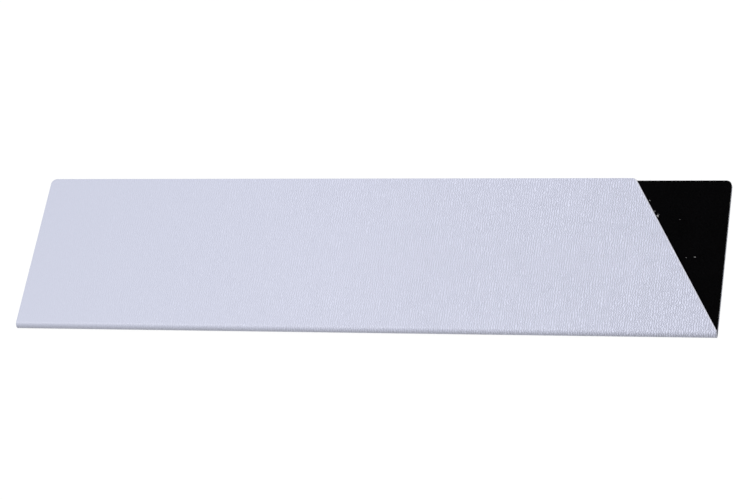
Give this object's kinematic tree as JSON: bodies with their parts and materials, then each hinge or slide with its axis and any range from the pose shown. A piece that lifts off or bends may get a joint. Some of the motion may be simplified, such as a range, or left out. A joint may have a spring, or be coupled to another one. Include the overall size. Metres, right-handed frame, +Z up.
{
  "type": "knife blade guard",
  "caption": "Flat folded knife blade guard: grained plastic cover, magnets and black felt lining inside, fold along one long edge, front leaf cut on a slant at one end.",
  "frame": {"origin": "under the middle of the guard, on the surface that it lies on", "axes": "+X along the length towards the slanted end, +Y across the leaves from the fold to the open edge, +Z up from the back leaf to the front leaf"},
  "size_m": [0.21, 0.0526, 0.0027],
  "materials": {
    "cover": "satin",
    "adhesive": "satin",
    "magnet": "matte",
    "lining": "matte"
  },
  "bodies": {
    "back_leaf": {"back_cover": "cover", "cover_fold": "cover", "back_magnet_adhesive": "adhesive", "back_magnet": "magnet", "back_lining_adhesive": "adhesive", "back_lining": "lining", "lining_fold": "lining"},
    "front_leaf": {"front_cover": "cover", "front_magnet_adhesive": "adhesive", "front_magnet": "magnet", "front_lining_adhesive": "adhesive", "front_lining": "lining"}
  },
  "joints": [
    {"name": "fold_hinge", "type": "hinge", "parent": "back_leaf", "child": "front_leaf", "pos_m": [0, -0.02583, 0.00137], "axis": [1, 0, 0], "range_deg": [0, 45], "stiffness_Nm_per_rad": 0.3, "springref_deg": -5.73, "deforming": ["cover_fold", "lining_fold"]}
  ]
}
